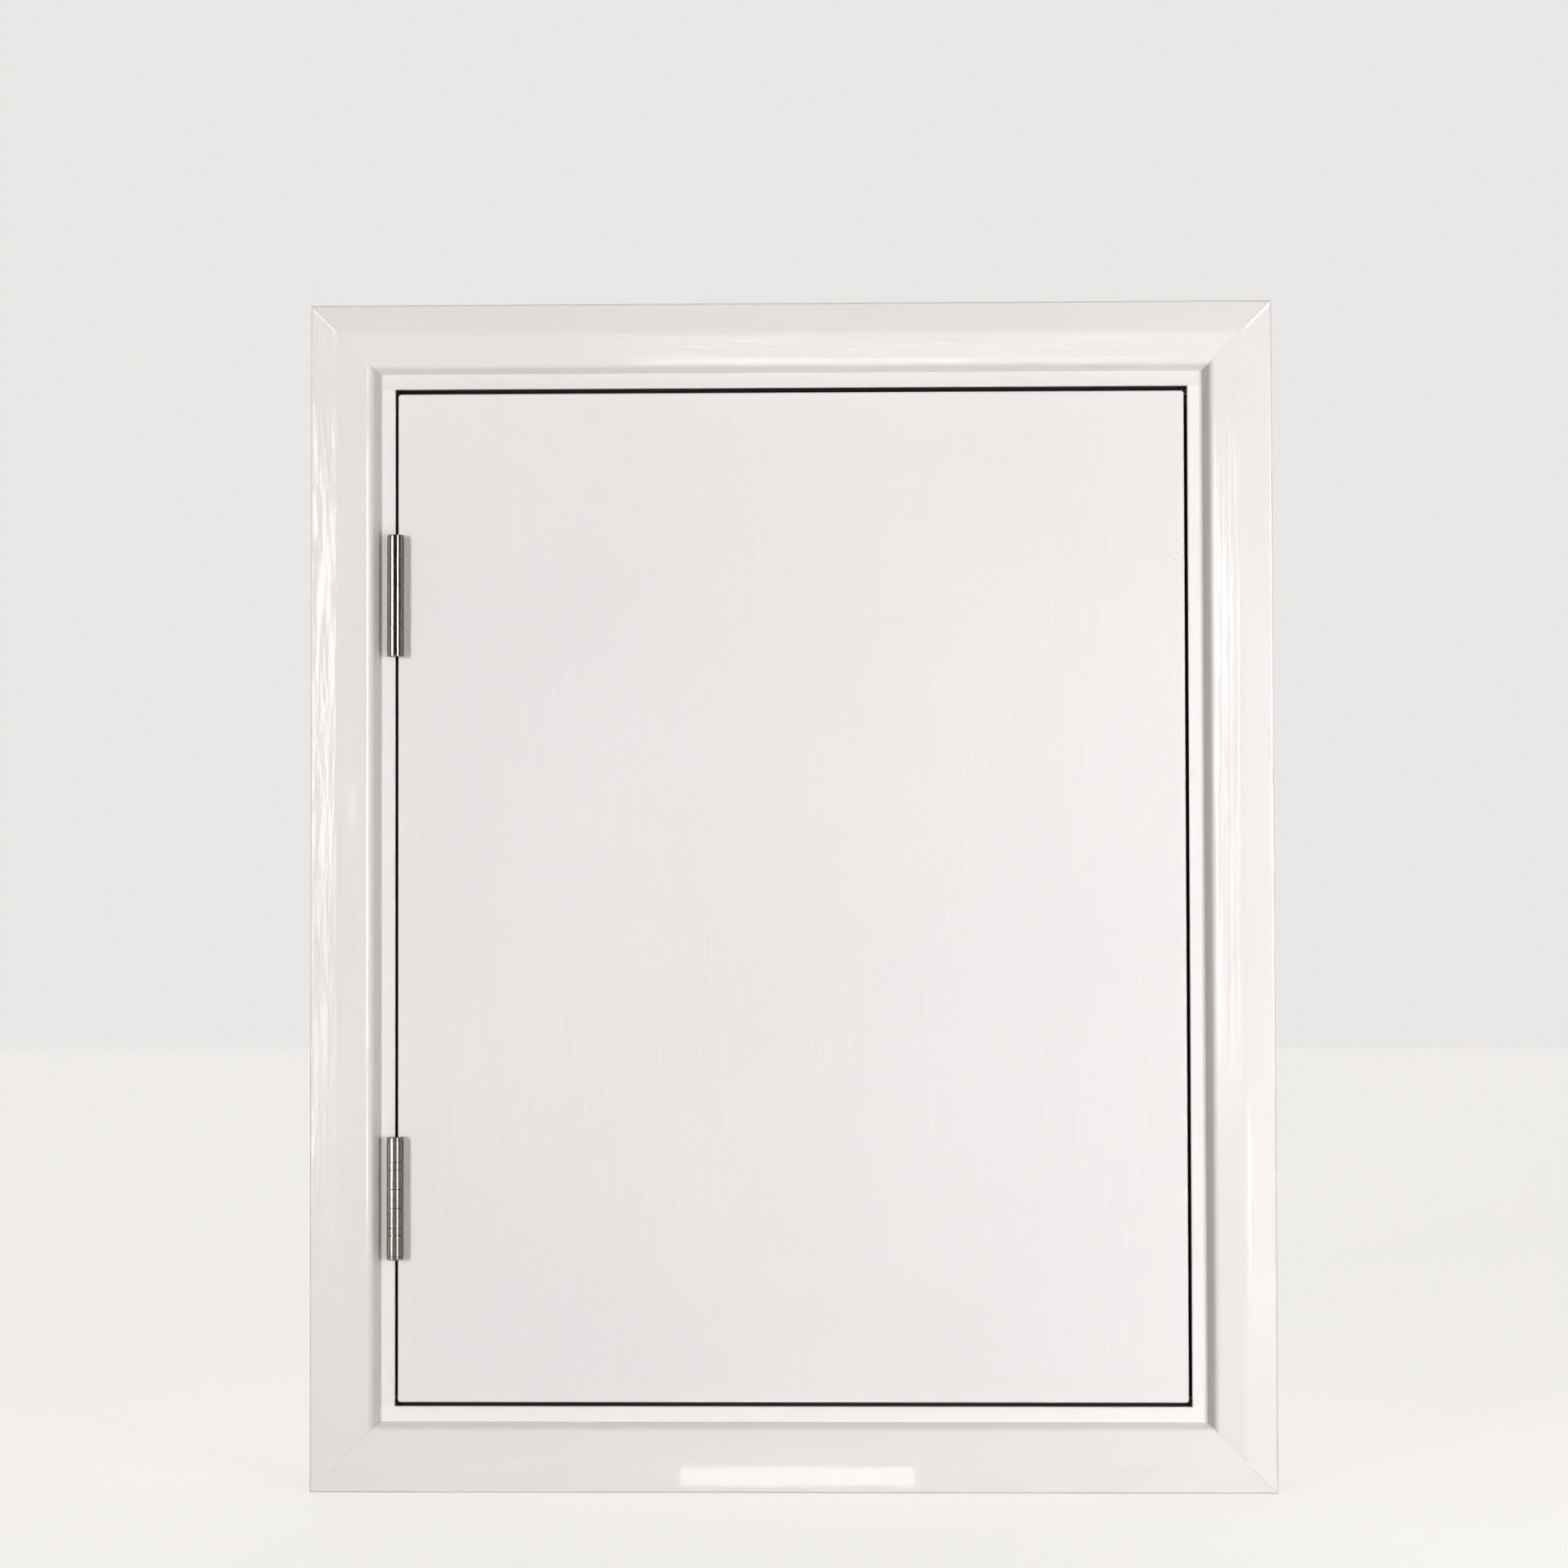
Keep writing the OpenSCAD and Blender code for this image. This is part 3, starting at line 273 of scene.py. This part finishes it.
def paint(name, colour, axis, gloss, grain, knots=(), marks=(), bare=(), streaks=0.0, gap_shade=None,
          lively=None, figure=0.0, corner_shade=None):
    """Brushed white paint over wood, with its grain, nibs, specks and bare hidden faces.

    axis, grain and knots describe the wood. streaks are pulled brush marks, painted lighter as a
    painted sheen on them. gap_shade is the painted shade on the faces inside the gap, as dark
    coats.
    The last three are for the mouldings: lively is the half that shows its grain ("band" or
    "slope"), figure raises it, and corner_shade is the span and strength of the painted shade in
    the inner corner.
    """
    n = Nodes(name)
    lines = rings(n, axis, knots)
    brush = n.drawn(axis, *BRUSH)
    nibs = n.noise(n.place(), *NIBS)
    swell = n.drawn(axis, *SWELL)
    cloud = n.noise(n.place(), *PAINT_CLOUD)
    grime = n.drawn(axis, *GRIME)
    if lively:
        sideways, upward = from_foot(n)
        rise = sideways if axis == Z else upward

    tone = n.mix(n.ramp(cloud, *MOST), scaled(colour, 0.985), scaled(colour, 1.01))
    tone = n.mix(n.ramp(grime, 0.58, 0.8, 0.0, 0.3), tone, scaled(colour, 0.955))
    # Pulled brush marks painted lighter: real marks, with a painted sheen on them
    if streaks:
        pull = n.ramp(n.drawn(axis, *PULL), 0.55, 0.72, 0.0, streaks)
        region = n.ramp(n.drawn(axis, *PULL_REGION, offset=(0.3, 0, 0.2)), 0.45, 0.62)
        tone = n.mix(n.math("MULTIPLY", pull, region), tone, scaled(colour, 1.10))
    # Painted shade: the faces inside the gap are darkened so that the gap reads dark
    if gap_shade:
        depth = n.xyz()[Y]
        end, shade_colour = gap_shade
        inside = n.math("MULTIPLY", n.ramp(depth, *GAP_SHADE_START),
                        n.ramp(depth, end, end + GAP_SHADE_FADE, 1.0, 0.0))
        tone = n.mix(inside, tone, n.mix(n.ramp(grime, 0.4, 0.7), shade_colour, scaled(shade_colour, 0.85)))
    # Painted shade in the inner corner of the moulding
    if corner_shade:
        low, high, shade = corner_shade
        tone = n.mix(n.ramp(rise, low, high, 1.0, 0.0), tone, scaled(colour, shade))
    for x, z in marks:
        away = n.new("ShaderNodeVectorMath", operation="DISTANCE")
        n.put(n.place((1, 0, 1)), away.inputs[0])
        away.inputs[1].default_value = (x, 0, z)
        speck = n.ramp(away.outputs["Value"], MARK_CORE, MARK_SIZE, MARK_STRENGTH, 0.0)
        tone = n.mix(speck, tone, SPECK)

    normal = n.bump(swell, SWELL_HEIGHT + SWELL_FIGURE * figure)
    relief = lines
    if lively:
        halves = (CALM, 1.0) if lively == "band" else (1.0, CALM)
        raised = n.ramp(rise, *CREST, *halves)
        relief = n.math("MULTIPLY", lines, raised)
        cloudy = n.drawn(axis, *CLOUDY_FIGURE)
        normal = n.bump(n.math("MULTIPLY", cloudy, raised), CLOUD_FIGURE * figure, normal)
    normal = n.bump(relief, -GRAIN_DEPTH * grain, normal)
    normal = n.bump(brush, BRUSH_HEIGHT * grain, normal)
    normal = n.bump(nibs, NIB_HEIGHT, normal)

    rough = n.ramp(brush, 0.2, 0.8, gloss * 0.88, gloss * 1.15)
    if lively:
        off_mitre = n.math("ABSOLUTE", n.math("SUBTRACT", sideways, upward))
        seam = n.ramp(off_mitre, *MITRE_SEAM, 1.0, 0.0)
        tone = n.mix(n.math("MULTIPLY", seam, 0.25), tone, scaled(colour, 0.75))
        normal = n.bump(n.ramp(off_mitre, *MITRE_RIDGE, 1.0, 0.0), MITRE_BEAD, normal)
        normal = n.bump(n.ramp(rise, *NOSE_FRONT), NOSE_BEAD, normal)
        normal = n.bump(n.ramp(rise, *OUTER_ARRIS, 1.0, 0.0), ARRIS_BEAD, normal)
    if corner_shade:
        rough = n.math("MAXIMUM", rough, n.ramp(rise, *CORNER_ROUGH, DUSTY, 0.0))
    if bare:
        mask = past_limits(n, bare)
        fibre = n.ramp(n.drawn(axis, *WOOD_FIBRE), *MOST)
        pine = n.mix(fibre, PINE_LIGHT, scaled(PINE_LIGHT, 0.86))
        tone = n.mix(mask, tone, n.mix(n.math("MULTIPLY", lines, 0.6), pine, PINE_DARK))
        rough = n.math("MAXIMUM", rough, n.math("MULTIPLY", mask, BARE_WOOD))
    return n.finish(Base_Color=tone, Roughness=rough, Normal=normal, Specular_IOR_Level=0.5)


def steel(name, colour, roughness, axis, fine=1.0, barrel=False):
    """Polished or plated steel with faint drawn lines, clouds and a few scratches."""
    n = Nodes(name)
    length, scale, *rest = STEEL_LINES
    lines = n.drawn(axis, length, scale * fine, *rest)
    cloud = n.noise(n.place(), *STEEL_CLOUD)
    scratch = n.noise(n.place(offset=(0.1, 0.2, 0.3)), *STEEL_SCRATCH)
    tone = n.mix(n.ramp(cloud, 0.3, 0.75), scaled(colour, 0.88), scaled(colour, 1.04))
    tone = n.mix(n.ramp(scratch, 0.62, 0.75, 0.0, 0.5), tone, scaled(colour, 0.7))
    # Painted shade on the barrel's flanks, a dark reflection painted into the steel
    if barrel:
        depth = n.xyz()[Y]
        flank = n.math("MULTIPLY", n.ramp(depth, *FLANK_IN), n.ramp(depth, *FLANK_OUT, 1.0, 0.0))
        tone = n.mix(flank, tone, scaled(colour, FLANK_SHADE))
    rough = n.ramp(lines, 0.25, 0.75, roughness * 0.8, roughness * 1.3)
    return n.finish(Base_Color=tone, Metallic=1.0, Roughness=rough,
                    Normal=n.bump(lines, LINE_HEIGHT))


def moulded(name, colour, roughness):
    """Moulded rubber or plastic with a fine matt skin."""
    n = Nodes(name)
    skin = n.noise(n.place(), *MOULDED_SKIN)
    cloud = n.noise(n.place(), *MOULDED_CLOUD)
    tone = n.mix(cloud, scaled(colour, 0.9), scaled(colour, 1.06))
    rough = n.ramp(cloud, *MOST, roughness * 0.9, roughness * 1.1)
    return n.finish(Base_Color=tone, Roughness=rough, Normal=n.bump(skin, SKIN_HEIGHT))


def particle_board(name):
    """Particle board: pressed chips in mixed browns."""
    n = Nodes(name)
    texture = n.new("ShaderNodeTexVoronoi")
    n.put(n.place((1, 1, CHIP_FLATNESS)), texture.inputs["Vector"])
    texture.inputs["Scale"].default_value = CHIP_SCALE
    chips = texture.outputs["Distance"]
    tone = n.mix(chips, scaled(CORE, 0.7), scaled(CORE, 1.25))
    return n.finish(Base_Color=tone, Roughness=n.ramp(chips, 0, 1, 0.7, 0.95),
                    Normal=n.bump(chips, CHIP_HEIGHT))


# The pieces and their materials

def dress(material, *names):
    for name in names:
        data = NODES[name].data
        data.materials.clear()
        data.materials.append(material)


# The uprights carry painted shade in their inner corners, stronger on the right
dress(paint("paint_architrave_left", PAINT, Z, GLOSS, 0.9, LEFT_KNOTS, ((-0.2863, 0.4624),),
            ARCHITRAVE_BARE, lively="band", figure=1.6, corner_shade=(0.0045, 0.0072, 0.82)),
      "architrave_left")
dress(paint("paint_architrave_right", PAINT, Z, GLOSS, 1.0, (), ((0.275, 0.0945),),
            ARCHITRAVE_BARE, lively="slope", figure=0.3, corner_shade=(0.0028, 0.0078, 0.55)),
      "architrave_right")
# The top architrave's paint is a little darker and the bottom's a little lighter, as painted
# shade and light
dress(paint("paint_architrave_top", scaled(PAINT, 0.975), X, GLOSS, 0.6, TOP_KNOTS, (),
            ARCHITRAVE_BARE, lively="slope", figure=0.7),
      "architrave_top")
dress(paint("paint_architrave_bottom", scaled(PAINT, 1.01), X, GLOSS, 0.8, (), (),
            ARCHITRAVE_BARE, lively="band", figure=1.1),
      "architrave_bottom")
# Each lining board is a lit or shaded copy of one paint: its factor is painted light and shade,
# darker on the head and lighter on the sill and the latch side
for piece, axis, painted_light_factor, marks in (("jamb_hinge_side", Z, 1.02, ()),
                                 ("jamb_latch_side", Z, 1.05, ((0.2695, 0.4788),)),
                                 ("head", X, 0.95, ((-0.0328, 0.7088),)),
                                 ("sill", X, 1.06, ())):
    dress(paint("paint_" + piece, scaled(PAINT, painted_light_factor), axis, EGGSHELL, LINING_GRAIN, (), marks,
                LINING_BARE, gap_shade=LINING_GAP_SHADE), "lining_" + piece)
dress(paint("paint_stop_upright", PAINT, Z, EGGSHELL, LINING_GRAIN),
      "stop_hinge_side", "stop_latch_side")
dress(paint("paint_stop_level", PAINT, X, EGGSHELL, LINING_GRAIN), "stop_top", "stop_bottom")
dress(paint("paint_leaf", LEAF_PAINT, Z, SATIN, LEAF_GRAIN, (), LEAF_MARKS, streaks=0.3,
            gap_shade=LEAF_GAP_SHADE),
      "leaf_front_skin", "leaf_back_skin", "leaf_stile_hinge_side", "leaf_stile_latch_side",
      "leaf_rail_top", "leaf_rail_bottom")
dress(particle_board("particle_board"), "leaf_core")
dress(moulded("seal_rubber", RUBBER, 0.65), "seal_bottom", "seal_top", "seal_hinge_side",
      "seal_latch_side")
dress(moulded("latch_plastic", PLASTIC, 0.42), "touch_latch_housing", "touch_latch_nose",
      "touch_latch_plunger")
dress(moulded("ferrite", FERRITE, 0.55), "touch_latch_magnet")
dress(steel("hinge_steel", STEEL, 0.17, Z, barrel=True),
      *(name for name in NODES if name.startswith(("upper_hinge_", "lower_hinge_"))))
dress(steel("screw_steel", STEEL, 0.20, X), "hinge_frame_screws", "hinge_door_screws")
dress(steel("zinc_steel", ZINC, 0.32, Z, fine=0.6), "lining_screws", "architrave_nails",
      "stop_nails", "touch_latch_spring", "touch_latch_screws", "strike_plate", "strike_screws")

# Floor: it glows for the camera alone, so that it reads pale and still takes the shadow
FLOOR_Z, FLOOR_SIZE, GLOW_STRENGTH = CAD_BOX[0][2], 12, 0.64
LAMP_LIFT = 0.002  # lamps that lie on the floor are this far above it
bpy.ops.mesh.primitive_plane_add(size=FLOOR_SIZE, location=(0, 0, FLOOR_Z))
floor = bpy.context.object
floor.name = "floor"
n = Nodes("floor_white")
rays_seen = n.new("ShaderNodeLightPath").outputs["Is Camera Ray"]
n.finish(Base_Color=FLOOR_COLOUR, Roughness=0.9, Specular_IOR_Level=0.1,
         Emission_Color=FLOOR_GLOW,
         Emission_Strength=n.math("MULTIPLY", rays_seen, GLOW_STRENGTH))
floor.data.materials.append(n.material)

# World: white behind the object, and a dim room in front of it for the gloss and steel to mirror.
# The soft pair lights surfaces and the other pair is mirrored; each turns over a span of the
# direction's Y. The camera sees the white.
FRONT_SKY, BACK_SKY, SOFT_TURN = 0.10, 1.8, (0.25, 0.7)
ROOM_SKY, WHITE_SKY, MIRROR_TURN = 0.018, 1.0, (-0.35, 0.15)
world = bpy.data.worlds.new("room")
bpy.context.scene.world = world
world.use_nodes = True
sky = world.node_tree
background = sky.nodes["Background"]
background.inputs["Color"].default_value = (*SKY_COLOUR, 1)


def sky_node(kind, *inputs, **props):
    """Adds a node to the world; each input is a socket or a plain value."""
    node = sky.nodes.new(kind)
    for key, value in props.items():
        setattr(node, key, value)
    for value, socket in zip(inputs, node.inputs):
        if hasattr(value, "is_output"):
            sky.links.new(value, socket)
        else:
            socket.default_value = value
    return node.outputs


rays = sky_node("ShaderNodeLightPath")
way = sky_node("ShaderNodeSeparateXYZ", sky_node("ShaderNodeTexCoord")["Generated"])
soft = sky_node("ShaderNodeMapRange", way["Y"], *SOFT_TURN, FRONT_SKY, BACK_SKY)[0]
mirrored = sky_node("ShaderNodeMapRange", way["Y"], *MIRROR_TURN, ROOM_SKY, WHITE_SKY)[0]
plain = sky_node("ShaderNodeMapRange", rays["Is Glossy Ray"], 0, 1, soft, mirrored)[0]
seen = sky_node("ShaderNodeMath", rays["Is Camera Ray"], rays["Is Transmission Ray"],
                operation="MAXIMUM")[0]
strength = sky_node("ShaderNodeMapRange", seen, 0, 1, plain, WHITE_SKY)[0]
sky.links.new(strength, background.inputs["Strength"])


# Lamps: the matt ones light surfaces, and the gloss ones only show in their shine

def lamp(name, place, aim, size, watts, kind, colour=WHITE_LIGHT, spread=180):
    """A soft rectangular lamp for matt or for gloss; its spread is in degrees."""
    data = bpy.data.lights.new(name, "AREA")
    data.shape = "RECTANGLE"
    data.size, data.size_y = size
    data.energy = watts
    data.color = colour
    data.spread = math.radians(spread)
    lamp_object = bpy.data.objects.new(name, data)
    lamp_object.location = place
    towards = Vector(aim) - Vector(place)
    lamp_object.rotation_euler = towards.to_track_quat("-Z", "Y").to_euler()
    lamp_object.visible_camera = False
    lamp_object.visible_glossy = kind == "gloss"
    lamp_object.visible_diffuse = kind == "matt"
    bpy.context.scene.collection.objects.link(lamp_object)


def floor_lamp(name, x, y, size, watts, spread=180):
    """A gloss lamp that lies on the floor and faces up."""
    level = FLOOR_Z + LAMP_LIFT
    lamp(name, (x, y, level), (x, y, 1.0), size, watts, "gloss", spread=spread)


LOWER_BARREL = (-0.262, 0, 0.055)
lamp("left_soft", (-2.98, -5.0, 0.70), MIDDLE, (1.0, 1.4), 182, "matt")
lamp("right_soft", (3.64, -5.0, 0.72), MIDDLE, (1.0, 1.4), 79, "matt", COOL_LIGHT)
lamp("right_near_soft", (0.95, -1.15, 0.18), MIDDLE, (0.3, 0.6), 9.2, "matt", COOL_LIGHT)
lamp("ceiling_soft", (0.1, -4.0, 2.2), MIDDLE, (1.6, 1.2), 2.6, "matt")
lamp("left_gloss", (-4.10, -4.67, 0.69), MIDDLE, (2.4, 1.5), 71, "gloss")
lamp("right_gloss", (3.48, -4.7, 0.70), MIDDLE, (1.0, 1.5), 55, "gloss")
floor_lamp("far_floor_gloss", 0.08, -1.00, (0.50, 0.46), 3.4, spread=136)
lamp("left_low_gloss", (-1.365, -1.206, 0.055), LOWER_BARREL, (0.50, 0.15), 1.5, "gloss")
lamp("right_low_gloss", (0.67, -1.206, 0.055), LOWER_BARREL, (0.21, 0.15), 0.7, "gloss")
floor_lamp("near_floor_gloss", 0.003, -0.06, (0.155, 0.08), 0.14)

# Camera, fitted to the edges in the photo; angles in radians, sensor width in millimetres
EYE = Vector((0.0463, -2.3061, 0.3725))
YAW, PITCH, ROLL = 0.02215, 0.02735, -0.00228
FOCAL_PIXELS, FRAME_PIXELS, SENSOR_WIDTH = 4291.7, 1932, 36
forward = Vector((-math.sin(YAW) * math.cos(PITCH), math.cos(YAW) * math.cos(PITCH),
                  math.sin(PITCH)))
level_right = Vector((math.cos(YAW), math.sin(YAW), 0))
level_up = level_right.cross(forward)
right = level_right * math.cos(ROLL) + level_up * math.sin(ROLL)
up = level_up * math.cos(ROLL) - level_right * math.sin(ROLL)
camera_data = bpy.data.cameras.new("camera")
camera_data.sensor_width = SENSOR_WIDTH
camera_data.lens = FOCAL_PIXELS / FRAME_PIXELS * camera_data.sensor_width
camera = bpy.data.objects.new("camera", camera_data)
camera.matrix_world = Matrix((right, up, -forward)).transposed().to_4x4()
camera.matrix_world.translation = EYE
bpy.context.scene.collection.objects.link(camera)
bpy.context.scene.camera = camera
bpy.context.scene.view_settings.view_transform = "Standard"
